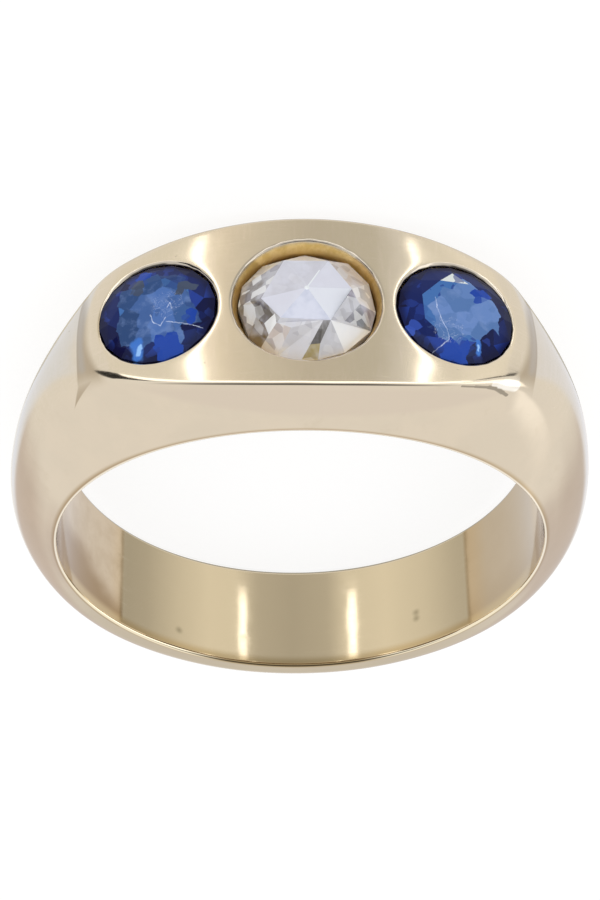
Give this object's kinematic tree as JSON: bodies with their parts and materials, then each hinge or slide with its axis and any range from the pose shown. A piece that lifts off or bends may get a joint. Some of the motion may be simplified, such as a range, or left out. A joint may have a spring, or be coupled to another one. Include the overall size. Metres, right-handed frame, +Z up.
{
  "type": "flush-set stone ring",
  "caption": "Gold finger ring with a round rose-cut diamond flush set between blue sapphires in a broad head, with full shoulders and a narrower shank.",
  "frame": {"origin": "on the floor, under the middle of the box around the ring as it lies on its side", "axes": "+Z up from the floor, +Y from the head with its stones towards the back of the shank, +X along the row of stones from the left sapphire to the right one"},
  "size_m": [0.0222, 0.0232, 0.008],
  "materials": {
    "gold": "polished pale yellow gold with fine wear scratches, olive gold inside the shank",
    "diamond": "clear faceted stone with a slight warm tint",
    "sapphire": "deep blue faceted stone with scratches and inclusions"
  },
  "bodies": {
    "root": {"band": "gold", "diamond": "diamond", "sapphire_left": "sapphire", "sapphire_right": "sapphire"}
  },
  "joints": []
}
